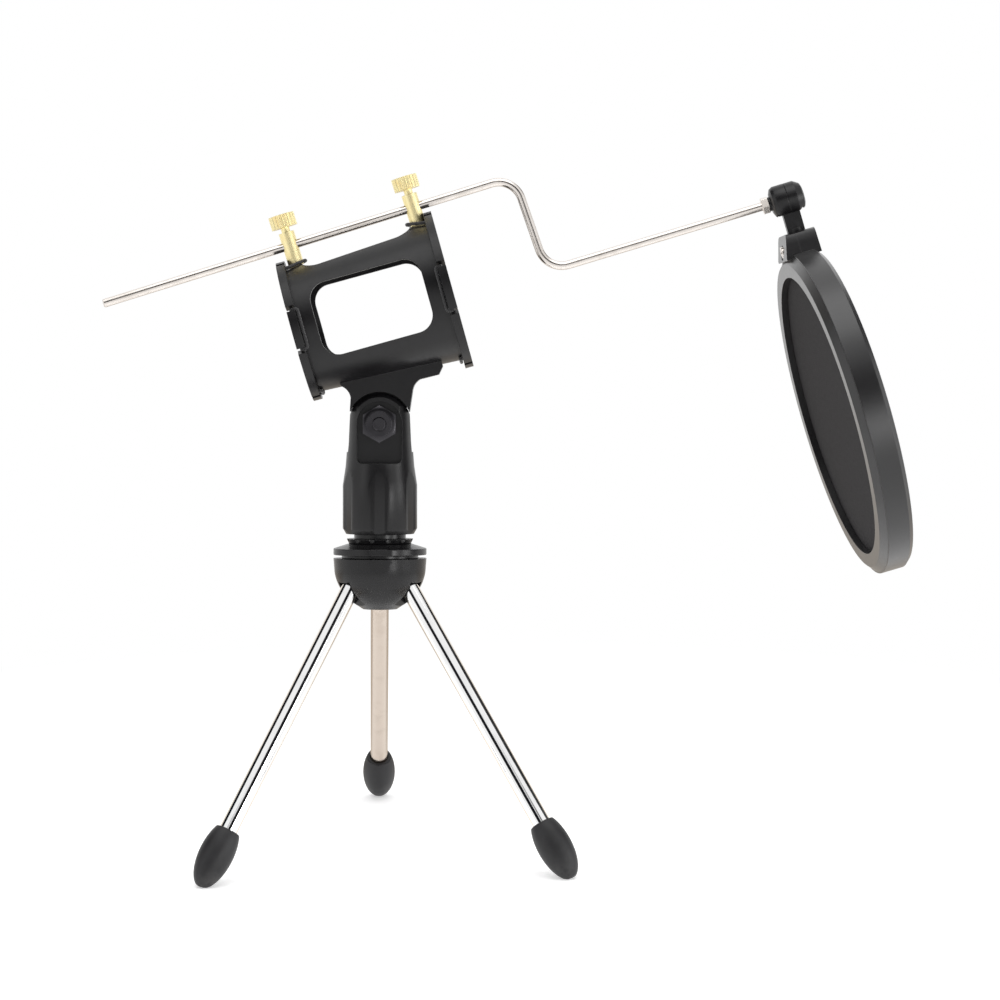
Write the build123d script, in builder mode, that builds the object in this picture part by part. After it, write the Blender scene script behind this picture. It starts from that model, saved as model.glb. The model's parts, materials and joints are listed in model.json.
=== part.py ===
from build123d import *
import math
import os

# A desk stand with a clip-on pop filter. A small folding tripod carries a swivel clip, the clip holds a
# conical microphone cradle, and two brass posts on the cradle clamp a cranked rod with a round filter.
# The row frame has +Z up from the floor, +X towards the filter and +Y towards the rear leg. Its origin
# is on the floor, straight below the point where the column axis meets the plane of the leg hinges.

os.makedirs("parts", exist_ok=True)

# ---------------------------------------------------------------- driving dimensions, mm and degrees
# Tripod
hinge_radius = 14.9
leg_diameter = 8.4
leg_wall = 0.8
leg_reach = 153.4
leg_bearing = {"front_left": -150.0, "front_right": -30.0, "rear": 90.0}
leg_splay = {"front_left": 30.6, "front_right": 33.2, "rear": 44.9}
widest_splay = 44.9
tripod_turn = 1.8
hinge_pin_radius = 1.5
foot_length = 28.0
foot_radius = 7.8
foot_half_axis = 16.8
foot_tip = 16.25
sole_depth = 0.3

# Hub, heights measured from the hinge plane
hub_radius = 21.4
bowl_bottom = -11.0
band_bottom = 6.0
band_top = 12.4
cap_bottom = 14.0
cap_edge = 16.9
cap_top = 19.2
spigot_radius = 17.6
facet_width = 9.8
slot_half_width = 5.0
stud_radius = 7.94
stud_top = 36.0

# Swivel clip
clip_bottom = 23.6
clip_radius = 17.1
bolt_height = 74.1
ear_radius = 14.3
slot_half_gap = 4.6
bolt_radius = 3.2
pad_depth = 9.0
pad_half_width = 10.3

# Microphone cradle, a cone about its own x axis
cradle_centre = (-2.9, 0.0, 126.3)
cradle_tilt = 15.5
cradle_length = 75.0
rim_width = 3.9
rim_radius = {"left": 32.85, "right": 37.0}
cone_radius = {"left": 29.4, "right": 32.8}
cradle_wall = 2.5
window_length = 52.0
window_height = 34.0
window_corner = 8.0
top_window_width = 27.6
notch_width = 2.6
hook_half_angle = 17.7
cord_radius = 0.8
neck_half_width = 9.5
neck_arc_radius = 14.75
lug_radius = 12.3

# Posts, rod and thumbscrews
rod_radius = 2.0
rod_height = 39.87
rod_slope = 1.72
rod_tail = 119.0
rod_corner = 78.6
rod_crank = 46.2
rod_crank_angle = 88.1
rod_end_angle = 0.5
rod_end_length = 115.4
rod_bend_radius = 11.0
post_radius = 3.6
post_top = 6.3
post_place = {"left": -29.0, "right": 30.1}
stub_gap = 2.4
thumb_radius = 6.0
thumb_height = 6.0
knurl_count = 22

# Ball joint and filter
running_gap = 0.05
socket_radius = 7.4
socket_half_length = 7.75
ball_radius = 4.6
stem_tilt = 0.7
stem_length = 101.0
stem_top = 85.2
hoop_swivel = 4.5
hoop_radius = 76.2
opening_radius = 66.0
mesh_radius = 69.0
face_plane = -9.8
band_front = -6.8
back_plane = 5.3
front_mesh_plane = -6.7
rear_mesh_plane = 1.9
mesh_thickness = 0.3
block_split = -2.4
block_back = 6.8


# ---------------------------------------------------------------- frames
def frame_at(frame, position, *turns):
    """A frame at a position in another frame's coordinates, then turned about its own axes."""
    place = frame.location * Location(position)
    for turn in turns:
        place = place * Location((0, 0, 0), turn)
    return Plane(place)


def upright(frame):
    """The plane through a frame's origin that holds its x and z directions."""
    return Plane(origin=frame.origin, x_dir=frame.x_dir, z_dir=-frame.y_dir)


def crosswise(frame, distance):
    """A plane square to a frame's x direction, at a distance along it."""
    return Plane(origin=frame.origin + frame.x_dir * distance, x_dir=frame.y_dir, z_dir=frame.x_dir)


def leg_direction(leg):
    """Unit vector down a leg, in the column frame."""
    bearing = math.radians(leg_bearing[leg] + tripod_turn)
    splay = math.radians(leg_splay[leg])
    return Vector(math.sin(splay) * math.cos(bearing), math.sin(splay) * math.sin(bearing), -math.cos(splay))


def hinge_point(leg):
    """Centre of a leg's hinge pin, in the column frame."""
    bearing = math.radians(leg_bearing[leg] + tripod_turn)
    return Vector(hinge_radius * math.cos(bearing), hinge_radius * math.sin(bearing), 0)


def foot_centre(leg):
    """Centre of a rubber foot's ellipsoid, in the column frame."""
    return hinge_point(leg) + leg_direction(leg) * (leg_reach - foot_tip)


def foot_drop(leg, up):
    """How far a foot's ellipsoid reaches below its centre, against the floor's upward normal."""
    along = -leg_direction(leg).dot(up)
    return math.sqrt((foot_half_axis * along) ** 2 + foot_radius**2 * (1 - along**2))


# The floor rests on the three feet. Its normal and height in the column frame fix how the column leans.
legs = list(leg_bearing)
floor_up = (foot_centre("front_right") - foot_centre("front_left")).cross(
    foot_centre("rear") - foot_centre("front_left")
)
floor_up = floor_up.normalized()
floor_drop = min(foot_drop(leg, floor_up) for leg in legs) - sole_depth
column_height = floor_drop - foot_centre("rear").dot(floor_up)
floor_in_column = Plane(origin=floor_up * -column_height, x_dir=(1, 0, 0), z_dir=floor_up)
column = Plane(floor_in_column.location.inverse())
column_axis = Axis(column.origin, column.z_dir)

bolt = frame_at(column, (0, 0, bolt_height))
cradle = frame_at(column, cradle_centre, (0, -cradle_tilt, 0))
cradle_axis = Axis(cradle.origin, cradle.x_dir)
rod_line = frame_at(cradle, (0, 0, rod_height), (0, -rod_slope, 0))
post_frames = {side: frame_at(rod_line, (post_place[side], 0, 0)) for side in post_place}

crank = math.radians(rod_crank_angle)
rod_low_corner = (rod_corner + rod_crank * math.cos(crank), -rod_crank * math.sin(crank))
rod_low = frame_at(rod_line, (rod_low_corner[0], 0, rod_low_corner[1]), (0, rod_end_angle, 0))
rod_end_axis = Axis(rod_low.origin, rod_low.x_dir)
socket = frame_at(rod_low, (rod_end_length, 0, 0))
socket_axis = Axis(socket.origin, socket.x_dir)
stem = frame_at(socket, (0, 0, 0), (0, stem_tilt, 0))
stem_axis = Axis(stem.origin, stem.z_dir)
hoop = frame_at(stem, (0, 0, -stem_length), (0, 0, hoop_swivel))
hoop_axis = Axis(hoop.origin, hoop.x_dir)


def bearing_frame(leg):
    """Frame at a leg's hinge with x pointing outwards and z up the column."""
    return frame_at(column, hinge_point(leg), (0, 0, leg_bearing[leg] + tripod_turn))


def leg_frame(leg):
    """Frame at a leg's hinge with z up the leg and y along the hinge pin."""
    return frame_at(bearing_frame(leg), (0, 0, 0), (0, -leg_splay[leg], 0))


facet_frames = [frame_at(column, (0, 0, 0), (0, 0, leg_bearing[leg] + tripod_turn + 180)) for leg in legs]
facet_depth = math.sqrt(hub_radius**2 - (facet_width / 2) ** 2)


# ---------------------------------------------------------------- tripod hub
leg_clearance = 0.15
slot_radius = leg_diameter / 2 + leg_clearance
open_angle = math.radians(widest_splay)
slot_floor = bowl_bottom - 3
edge_start = (slot_radius * math.cos(open_angle), slot_radius * math.sin(open_angle))
edge_run = (edge_start[1] - slot_floor) * math.tan(open_angle)
core_radius = 5.0
core_floor = 7.9
hub_bolt_radius = 2.6
counterbore_radius = 4.6
counterbore_depth = 4.2
pin_half_length = 8.0

with BuildPart() as hub_body:
    with BuildSketch(upright(column)):
        with BuildLine():
            Polyline((0, band_top), (hub_radius, band_top), (20.9, band_bottom))
            ThreePointArc((20.9, band_bottom), (17.9, -2.0), (10.6, -9.2))
            Polyline((10.6, -9.2), (7.8, bowl_bottom), (0, bowl_bottom), (0, band_top))
        make_face()
    revolve(axis=column_axis)
    # Ring pocket under the cap, which leaves a core for the bolt and a wall for the cap to sit on.
    with BuildSketch(column.offset(6.6)):
        Circle(16.0)
        Circle(9.5, mode=Mode.SUBTRACT)
    extrude(amount=band_top - 6.6, mode=Mode.SUBTRACT)
    for leg in legs:
        with BuildSketch(upright(bearing_frame(leg))):
            with BuildLine():
                Polyline(
                    (-slot_radius, 0),
                    (-slot_radius, slot_floor),
                    (edge_start[0] + edge_run, slot_floor),
                    edge_start,
                    (-slot_radius, 0),
                )
            make_face()
            Circle(slot_radius)
        extrude(amount=slot_half_width, both=True, mode=Mode.SUBTRACT)
        with BuildSketch(upright(bearing_frame(leg))):
            Circle(hinge_pin_radius + 0.02)
        extrude(amount=pin_half_length + 0.02, both=True, mode=Mode.SUBTRACT)
    for facet in facet_frames:
        with BuildSketch(crosswise(facet, facet_depth)):
            with Locations((0, (band_bottom + band_top) / 2 + 1)):
                Rectangle(facet_width, band_top - band_bottom + 4)
        extrude(amount=5, mode=Mode.SUBTRACT)
    with BuildSketch(column.offset(core_floor)):
        Circle(core_radius + 0.05)
    extrude(amount=6, mode=Mode.SUBTRACT)
    with BuildSketch(column.offset(bowl_bottom - 1)):
        Circle(hub_bolt_radius)
    extrude(amount=core_floor - bowl_bottom + 2, mode=Mode.SUBTRACT)
    with BuildSketch(column.offset(bowl_bottom - 1)):
        Circle(counterbore_radius)
    extrude(amount=counterbore_depth + 1, mode=Mode.SUBTRACT)

hub_body.part.label = "hub_body"
export_step(hub_body.part, "parts/hub_body.step")

with BuildPart() as hub_cap:
    with BuildSketch(upright(column)):
        with BuildLine():
            Polyline(
                (core_radius + 0.05, band_top),
                (core_radius + 0.05, cap_top),
                (14.2, cap_top),
                (hub_radius, cap_edge),
                (hub_radius, cap_bottom),
                (spigot_radius, cap_bottom),
                (spigot_radius, band_top),
                (15.9, band_top),
                (15.9, band_top - 1.5),
                (14.4, band_top - 1.5),
                (14.4, band_top),
                (core_radius + 0.05, band_top),
            )
        make_face()
    revolve(axis=column_axis)
    for facet in facet_frames:
        with BuildSketch(crosswise(facet, facet_depth)):
            with Locations((0, (cap_bottom + cap_edge) / 2)):
                Rectangle(facet_width, 6)
        extrude(amount=5, mode=Mode.SUBTRACT)

hub_cap.part.label = "hub_cap"
export_step(hub_cap.part, "parts/hub_cap.step")

# Stand stud, 5/8 inch across, with a spigot that passes the cap and seats in the hub's core.
stud_tap_radius = 2.5
with BuildPart() as thread_stud:
    with BuildSketch(upright(column)):
        with BuildLine():
            Polyline(
                (stud_tap_radius, core_floor),
                (core_radius, core_floor),
                (core_radius, cap_top),
                (stud_radius, cap_top),
                (stud_radius, stud_top - 1.2),
                (stud_radius - 1.2, stud_top),
                (0, stud_top),
                (0, 22.0),
                (stud_tap_radius, 22.0),
                (stud_tap_radius, core_floor),
            )
        make_face()
    revolve(axis=column_axis)

thread_stud.part.label = "thread_stud"
export_step(thread_stud.part, "parts/thread_stud.step")

bolt_seat = bowl_bottom + counterbore_depth
with BuildPart() as hub_bolt:
    with BuildSketch(column.offset(bolt_seat - 3.6)):
        Circle(4.2)
    extrude(amount=3.6)
    with BuildSketch(column.offset(bolt_seat)):
        Circle(stud_tap_radius)
    extrude(amount=18.0 - bolt_seat)
    with BuildSketch(column.offset(bolt_seat - 3.6)):
        RegularPolygon(radius=2.0, side_count=6, major_radius=False)
    extrude(amount=2.2, mode=Mode.SUBTRACT)

hub_bolt.part.label = "hub_bolt"
export_step(hub_bolt.part, "parts/hub_bolt.step")

with BuildPart() as hinge_pins:
    for leg in legs:
        with BuildSketch(upright(bearing_frame(leg))):
            Circle(hinge_pin_radius)
        extrude(amount=pin_half_length, both=True)

hinge_pins.part.label = "hinge_pins"
export_step(hinge_pins.part, "parts/hinge_pins.step")

# Lock ring that jams the clip on the stud: a notched flange under a plain boss.
ring_flange_top = 21.4
with BuildPart() as lock_ring:
    with BuildSketch(upright(column)):
        with BuildLine():
            Polyline(
                (stud_radius + running_gap, cap_top + running_gap),
                (14.3, cap_top + running_gap),
                (15.3, ring_flange_top),
                (11.9, ring_flange_top),
                (11.9, clip_bottom - running_gap),
                (stud_radius + running_gap, clip_bottom - running_gap),
                (stud_radius + running_gap, cap_top + running_gap),
            )
        make_face()
    revolve(axis=column_axis)
    with BuildSketch(column.offset(cap_top)):
        with PolarLocations(16.4, 12, start_angle=15 + tripod_turn):
            Circle(1.9)
    extrude(amount=ring_flange_top - cap_top, mode=Mode.SUBTRACT)

lock_ring.part.label = "lock_ring"
export_step(lock_ring.part, "parts/lock_ring.step")


# ---------------------------------------------------------------- legs and feet
leg_radius = leg_diameter / 2
tube_end = -(leg_reach - 8.0)
foot_rim = foot_length - foot_tip
foot_bore_depth = 20.0
foot_steps = 14
foot_skin = []
for step in range(foot_steps + 1):
    start_angle = -math.asin(foot_tip / foot_half_axis)
    end_angle = math.asin(foot_rim / foot_half_axis)
    angle = start_angle + (end_angle - start_angle) * step / foot_steps
    foot_skin.append((foot_radius * math.cos(angle), foot_half_axis * math.sin(angle)))

for leg in legs:
    frame = leg_frame(leg)
    with BuildPart() as tube:
        with BuildSketch(upright(frame)):
            with BuildLine():
                ThreePointArc(
                    (0, leg_radius),
                    (leg_radius * math.sin(math.pi / 4), leg_radius * math.cos(math.pi / 4)),
                    (leg_radius, 0),
                )
                Polyline(
                    (leg_radius, 0),
                    (leg_radius, tube_end),
                    (leg_radius - leg_wall, tube_end),
                    (leg_radius - leg_wall, -8),
                    (0, -8),
                    (0, leg_radius),
                )
            make_face()
        revolve(axis=Axis(frame.origin, frame.z_dir))
        with BuildSketch(upright(frame)):
            Circle(hinge_pin_radius + running_gap)
        extrude(amount=leg_radius + 1, both=True, mode=Mode.SUBTRACT)
    tube.part.label = "leg_" + leg
    export_step(tube.part, "parts/leg_" + leg + ".step")

    foot_frame = frame_at(frame, (0, 0, -(leg_reach - foot_tip)))
    with BuildPart() as foot:
        with BuildSketch(upright(foot_frame)):
            with BuildLine():
                Spline(*foot_skin)
                Polyline(
                    foot_skin[-1],
                    (leg_radius, foot_rim),
                    (leg_radius, foot_rim - foot_bore_depth),
                    (0, foot_rim - foot_bore_depth),
                    (0, -foot_tip),
                    foot_skin[0],
                )
            make_face()
        revolve(axis=Axis(foot_frame.origin, foot_frame.z_dir))
        split(bisect_by=Plane.XY, keep=Keep.TOP)
    foot.part.label = "foot_" + leg
    export_step(foot.part, "parts/foot_" + leg + ".step")


# ---------------------------------------------------------------- swivel clip
insert_radius = 9.6
insert_top = 38.1
shoulder = 46.0
fork_slot_floor = bolt_height - lug_radius - 0.6
flute_count = 6
flute_radius = 21.7
flute_centre = 37.9
ear_flat = 11.0
pad_bottom = 59.0

with BuildPart() as ear_envelope:
    # Discs about the bolt that round the ear tops, over a block that leaves the barrel alone.
    with BuildSketch(crosswise(bolt, 0)):
        with BuildLine():
            Polyline(
                (-ear_flat, 0),
                (-ear_flat, 12.2),
                (-8.0, ear_radius),
                (8.0, ear_radius),
                (ear_flat, 12.2),
                (ear_flat, 0),
                (-ear_flat, 0),
            )
        make_face()
    revolve(axis=Axis(bolt.origin, bolt.y_dir))
    with BuildSketch(column.offset(clip_bottom)):
        Circle(2 * clip_radius)
    extrude(amount=bolt_height - clip_bottom)

with BuildPart() as swivel_clip:
    with BuildSketch(upright(column)):
        with BuildLine():
            Polyline(
                (0, clip_bottom),
                (15.6, clip_bottom),
                (clip_radius, 26.2),
                (clip_radius, shoulder),
                (15.8, 54.6),
                (14.9, 66.0),
                (14.6, 74.0),
                (14.3, 80.0),
                (14.3, 92.0),
                (0, 92.0),
                (0, clip_bottom),
            )
        make_face()
    revolve(axis=column_axis)
    add(ear_envelope.part, mode=Mode.INTERSECT)
    # Grip flutes: shallow hollows whose tops run out on the shoulder.
    with BuildSketch(column.offset(clip_bottom - 1)):
        with PolarLocations(flute_centre, flute_count, start_angle=-90):
            Circle(flute_radius)
    extrude(amount=30, mode=Mode.SUBTRACT)
    # Slot for the cradle's lug.
    with BuildSketch(upright(bolt)):
        Rectangle(60, 40, align=(Align.CENTER, Align.MIN))
        with Locations((0, -(bolt_height - fork_slot_floor) / 2)):
            Rectangle(60, bolt_height - fork_slot_floor)
    extrude(amount=slot_half_gap, both=True, mode=Mode.SUBTRACT)
    # Flat-bottomed pads on both ears, for the nut and the knob.
    for side in (-1, 1):
        with BuildSketch(upright(frame_at(bolt, (0, side * pad_depth, 0)))):
            Circle(pad_half_width)
            with Locations((0, (pad_bottom - bolt_height) / 2)):
                RectangleRounded(2 * pad_half_width, bolt_height - pad_bottom + 6, 2.6)
        extrude(amount=-side * 12, mode=Mode.SUBTRACT)
    with BuildSketch(upright(bolt)):
        Circle(bolt_radius + running_gap)
    extrude(amount=20, both=True, mode=Mode.SUBTRACT)
    with BuildSketch(column.offset(clip_bottom)):
        Circle(insert_radius)
    extrude(amount=insert_top - clip_bottom, mode=Mode.SUBTRACT)

swivel_clip.part.label = "swivel_clip"
export_step(swivel_clip.part, "parts/swivel_clip.step")

with BuildPart() as thread_insert:
    with BuildSketch(column.offset(clip_bottom)):
        Circle(insert_radius)
        Circle(stud_radius + running_gap, mode=Mode.SUBTRACT)
    extrude(amount=insert_top - clip_bottom)

thread_insert.part.label = "thread_insert"
export_step(thread_insert.part, "parts/thread_insert.step")

# Locking nut with a nylon collar on the front pad.
nut_across_flats = 15.0
nut_face = 4.6
collar_face = 6.4
with BuildPart() as tilt_nut:
    with BuildSketch(upright(frame_at(bolt, (0, -pad_depth, 0)))):
        RegularPolygon(radius=nut_across_flats / 2, side_count=6, major_radius=False, rotation=30)
    extrude(amount=nut_face)
    with BuildSketch(crosswise(bolt, 0)):
        with BuildLine():
            Polyline(
                (-pad_depth, 0),
                (-pad_depth, 9.0),
                (-pad_depth - nut_face + 0.9, 9.0),
                (-pad_depth - nut_face, 7.2),
                (-pad_depth - nut_face, 0),
                (-pad_depth, 0),
            )
        make_face()
    revolve(axis=Axis(bolt.origin, bolt.y_dir), mode=Mode.INTERSECT)
    with BuildSketch(upright(frame_at(bolt, (0, -pad_depth - nut_face, 0)))):
        Circle(5.8)
    extrude(amount=collar_face - nut_face)
    with BuildSketch(upright(bolt)):
        Circle(bolt_radius + running_gap)
    extrude(amount=30, both=True, mode=Mode.SUBTRACT)

tilt_nut.part.label = "tilt_nut"
export_step(tilt_nut.part, "parts/tilt_nut.step")

washer_thickness = 1.0
with BuildPart() as tilt_washer:
    with BuildSketch(upright(frame_at(bolt, (0, pad_depth, 0)))):
        Circle(7.5)
        Circle(bolt_radius + running_gap, mode=Mode.SUBTRACT)
    extrude(amount=-washer_thickness)

tilt_washer.part.label = "tilt_washer"
export_step(tilt_washer.part, "parts/tilt_washer.step")

knob_start = pad_depth + washer_thickness + running_gap
knob_hub = 5.0
knob_depth = 15.0
knob_radius = 12.5
bolt_tip = pad_depth + collar_face + 0.5
bolt_tail = knob_start + knob_depth - 4.0
with BuildPart() as tilt_bolt:
    with BuildSketch(upright(frame_at(bolt, (0, bolt_tail, 0)))):
        Circle(bolt_radius)
    extrude(amount=bolt_tail + bolt_tip)
    chamfer(tilt_bolt.faces().sort_by(Axis.Y)[0].edges(), 0.5)

tilt_bolt.part.label = "tilt_bolt"
export_step(tilt_bolt.part, "parts/tilt_bolt.step")

with BuildPart() as tilt_knob:
    with BuildSketch(upright(frame_at(bolt, (0, knob_start, 0)))):
        Circle(8.0)
    extrude(amount=-knob_hub)
    with BuildSketch(upright(frame_at(bolt, (0, knob_start + knob_hub, 0)))):
        Circle(knob_radius)
        with PolarLocations(knob_radius + 2.2, 8):
            Circle(3.6, mode=Mode.SUBTRACT)
    extrude(amount=-(knob_depth - knob_hub))
    with BuildSketch(upright(frame_at(bolt, (0, knob_start, 0)))):
        Circle(bolt_radius)
    extrude(amount=-(bolt_tail - knob_start), mode=Mode.SUBTRACT)

tilt_knob.part.label = "tilt_knob"
export_step(tilt_knob.part, "parts/tilt_knob.step")


# ---------------------------------------------------------------- microphone cradle
half_length = cradle_length / 2
rim_inner = half_length - rim_width
cone_rise = (cone_radius["right"] - cone_radius["left"]) / (2 * rim_inner)
seat_depth = 0.4
seat_radius = post_radius + 0.15
screw_radius = 1.5


def cone_surface(along):
    """Radius of the cradle's outer cone at a distance along its axis."""
    return cone_radius["left"] + (along + rim_inner) * cone_rise


def post_foot(side):
    """Height of a post's foot below the rod's centre line."""
    return cone_surface(post_place[side]) - seat_depth - rod_height - post_place[side] * math.tan(
        math.radians(rod_slope)
    )


with BuildPart() as cradle_body:
    with BuildSketch(upright(cradle)):
        with BuildLine():
            Polyline(
                (-half_length, 0),
                (-half_length, rim_radius["left"]),
                (-rim_inner, rim_radius["left"]),
                (-rim_inner, cone_radius["left"]),
                (rim_inner, cone_radius["right"]),
                (rim_inner, rim_radius["right"]),
                (half_length, rim_radius["right"]),
                (half_length, 0),
                (-half_length, 0),
            )
        make_face()
    revolve(axis=cradle_axis)
    # Saddle and neck under the cone, hollowed round the fork's ears.
    with BuildSketch(upright(bolt)):
        with BuildLine():
            Polyline((-13.6, 5.5), (-13.2, 12.0))
            ThreePointArc((-13.2, 12.0), (-14.5, 15.1), (-17.3, 17.2))
            Polyline((-17.3, 17.2), (-20.0, 21.0), (-20.0, 45.0), (24.0, 45.0), (29.0, 26.5), (27.2, 22.7))
            Polyline((27.2, 22.7), (18.5, 20.5))
            ThreePointArc((18.5, 20.5), (16.3, 18.4), (15.2, 15.5))
            Polyline((15.2, 15.5), (13.7, 5.5), (-13.6, 5.5))
        make_face()
        Circle(neck_arc_radius, mode=Mode.SUBTRACT)
    extrude(amount=neck_half_width, both=True)
    with BuildSketch(upright(bolt)):
        Circle(lug_radius)
        Rectangle(2 * lug_radius, 26, align=(Align.CENTER, Align.MIN))
    extrude(amount=slot_half_gap - 0.1, both=True)
    with BuildSketch(upright(cradle)):
        with BuildLine():
            Polyline(
                (-half_length - 1, 0),
                (-half_length - 1, cone_surface(-half_length - 1) - cradle_wall),
                (half_length + 1, cone_surface(half_length + 1) - cradle_wall),
                (half_length + 1, 0),
                (-half_length - 1, 0),
            )
        make_face()
    revolve(axis=cradle_axis, mode=Mode.SUBTRACT)
    # Side windows through both walls, and one along the top between the posts.
    with BuildSketch(upright(cradle)):
        with Locations((0, 1.0)):
            RectangleRounded(window_length, window_height, window_corner)
    extrude(amount=50, both=True, mode=Mode.SUBTRACT)
    with BuildSketch(cradle):
        RectangleRounded(window_length, top_window_width, window_corner)
    extrude(amount=50, mode=Mode.SUBTRACT)
    # Eight notches through each rim leave four hooks for the elastic.
    for start in (-half_length - 1, rim_inner):
        with BuildSketch(crosswise(cradle, start)):
            with PolarLocations(32.0, 4, start_angle=hook_half_angle):
                Rectangle(14.0, notch_width)
            with PolarLocations(32.0, 4, start_angle=-hook_half_angle):
                Rectangle(14.0, notch_width)
        extrude(amount=rim_width + 1, mode=Mode.SUBTRACT)
    for side, frame in post_frames.items():
        with BuildSketch(frame.offset(post_foot(side))):
            Circle(seat_radius)
        extrude(amount=8, mode=Mode.SUBTRACT)
        with BuildSketch(frame.offset(post_foot(side))):
            Circle(screw_radius)
        extrude(amount=-6, mode=Mode.SUBTRACT)
    with BuildSketch(upright(bolt)):
        Circle(bolt_radius + running_gap)
    extrude(amount=20, both=True, mode=Mode.SUBTRACT)

cradle_body.part.label = "cradle_body"
export_step(cradle_body.part, "parts/cradle_body.step")


# Elastic cords: each one runs behind the four hooks of a rim and straight across the opening between them.
# At the top hook it also passes round the foot of the brass post.
def cord_points(side, hook):
    """Points of a quarter of a cord, from mid-opening to mid-opening, in the (x, y, z) of its hook."""
    direction = -1 if side == "left" else 1
    behind = direction * (rim_inner - cord_radius - 0.25)
    within = direction * (half_length - rim_width / 2)
    outside = cone_surface(behind) + cord_radius + 0.3
    inside = cone_surface(within) - cradle_wall - cord_radius - 0.5
    chord = inside * math.cos(math.radians(45 - hook_half_angle))
    if hook == 0:
        post_line = post_place[side] - direction * (post_radius + cord_radius + 0.5)
        middle = [(-6.3, outside + 0.2, post_line), (6.3, outside + 0.2, post_line)]
    else:
        middle = [(angle, outside, behind) for angle in (-9.0, 0.0, 9.0)]
    route = [
        (-45.0, chord, within),
        (-hook_half_angle, inside, within),
        (-hook_half_angle, outside, within),
        (-hook_half_angle, outside, behind),
        *middle,
        (hook_half_angle, outside, behind),
        (hook_half_angle, outside, within),
        (hook_half_angle, inside, within),
        (45.0, chord, within),
    ]
    points = []
    for angle, radius, along in route:
        turn = math.radians(angle)
        points.append((along, radius * math.sin(turn), radius * math.cos(turn)))
    return points


for side in ("left", "right"):
    with BuildPart() as cord:
        for hook in range(4):
            cord_frame = frame_at(cradle, (0, 0, 0), (90 * hook, 0, 0))
            with BuildLine(cord_frame) as cord_path:
                FilletPolyline(*cord_points(side, hook), radius=1.1)
            with BuildSketch(Plane(origin=cord_path.line @ 0, z_dir=cord_path.line % 0)):
                Circle(cord_radius)
            sweep()
    cord.part.label = "elastic_cord_" + side
    export_step(cord.part, "parts/elastic_cord_" + side + ".step")

# Brass posts: tapped from above for a thumbscrew and from below for the screw that holds them.
for side, frame in post_frames.items():
    with BuildPart() as post:
        with BuildSketch(frame.offset(post_foot(side))):
            Circle(post_radius)
        extrude(amount=post_top - post_foot(side))
        with BuildSketch(crosswise(frame, -10)):
            Circle(rod_radius + 0.06)
        extrude(amount=20, mode=Mode.SUBTRACT)
        with BuildSketch(frame):
            Circle(2.0 + running_gap)
        extrude(amount=10, mode=Mode.SUBTRACT)
        with BuildSketch(frame.offset(post_foot(side))):
            Circle(screw_radius)
        extrude(amount=4.5, mode=Mode.SUBTRACT)
    post.part.label = "post_" + side
    export_step(post.part, "parts/post_" + side + ".step")

with BuildPart() as post_screws:
    for side, frame in post_frames.items():
        head_seat = post_foot(side) - (cradle_wall - seat_depth) - 0.25
        with BuildSketch(frame.offset(head_seat)):
            Circle(screw_radius)
        extrude(amount=post_foot(side) + 4.0 - head_seat)
        with BuildSketch(frame.offset(head_seat)):
            Circle(2.8)
        extrude(amount=-1.8)

post_screws.part.label = "post_screws"
export_step(post_screws.part, "parts/post_screws.step")

for side, frame in post_frames.items():
    with BuildPart() as thumbscrew:
        with BuildSketch(frame.offset(rod_radius + running_gap)):
            Circle(2.0)
        extrude(amount=post_top + stub_gap - rod_radius)
        with BuildSketch(frame.offset(post_top + stub_gap)):
            Circle(thumb_radius)
            with PolarLocations(thumb_radius + 0.25, knurl_count):
                Circle(0.62, mode=Mode.SUBTRACT)
        extrude(amount=thumb_height)
    thumbscrew.part.label = "thumbscrew_" + side
    export_step(thumbscrew.part, "parts/thumbscrew_" + side + ".step")


# ---------------------------------------------------------------- cranked rod and its lock nut
rod_stop = ball_radius + 0.75
rod_tip_length = rod_end_length - rod_stop
end_slope = math.radians(rod_end_angle)
rod_tip = (
    rod_low_corner[0] + rod_tip_length * math.cos(end_slope),
    rod_low_corner[1] - rod_tip_length * math.sin(end_slope),
)

with BuildPart() as cranked_rod:
    with BuildLine(upright(rod_line)) as rod_path:
        FilletPolyline((-rod_tail, 0), (rod_corner, 0), rod_low_corner, rod_tip, radius=rod_bend_radius)
    with BuildSketch(Plane(origin=rod_path.line @ 0, z_dir=rod_path.line % 0)):
        Circle(rod_radius)
    sweep()
    chamfer(cranked_rod.faces().filter_by(GeomType.PLANE).edges(), 0.4)

cranked_rod.part.label = "cranked_rod"
export_step(cranked_rod.part, "parts/cranked_rod.step")

collar_length = 1.0
nut_start = -(socket_half_length + collar_length + 2 * running_gap)
nut_thickness = 3.2
with BuildPart() as rod_lock_nut:
    with BuildSketch(crosswise(socket, nut_start - nut_thickness)):
        RegularPolygon(radius=3.5, side_count=6, major_radius=False, rotation=12)
        Circle(rod_radius + running_gap, mode=Mode.SUBTRACT)
    extrude(amount=nut_thickness)

rod_lock_nut.part.label = "rod_lock_nut"
export_step(rod_lock_nut.part, "parts/rod_lock_nut.step")


# ---------------------------------------------------------------- ball joint
# The socket barrel lies along the rod's end. It parts at its middle, where the two halves close on the ball.
cavity_radius = ball_radius + running_gap
stem_slot_half_length = 6.2
stem_slot_half_width = 3.05
stem_slot_top = -1.8
barrel_profile = (
    (-socket_half_length, 0),
    (-socket_half_length, 4.6),
    (-socket_half_length + 0.9, 6.6),
    (-socket_half_length + 2.4, socket_radius),
    (socket_half_length - 3.4, socket_radius),
    (socket_half_length - 0.6, 5.6),
    (socket_half_length, 4.0),
    (socket_half_length, 0),
    (-socket_half_length, 0),
)

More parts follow.
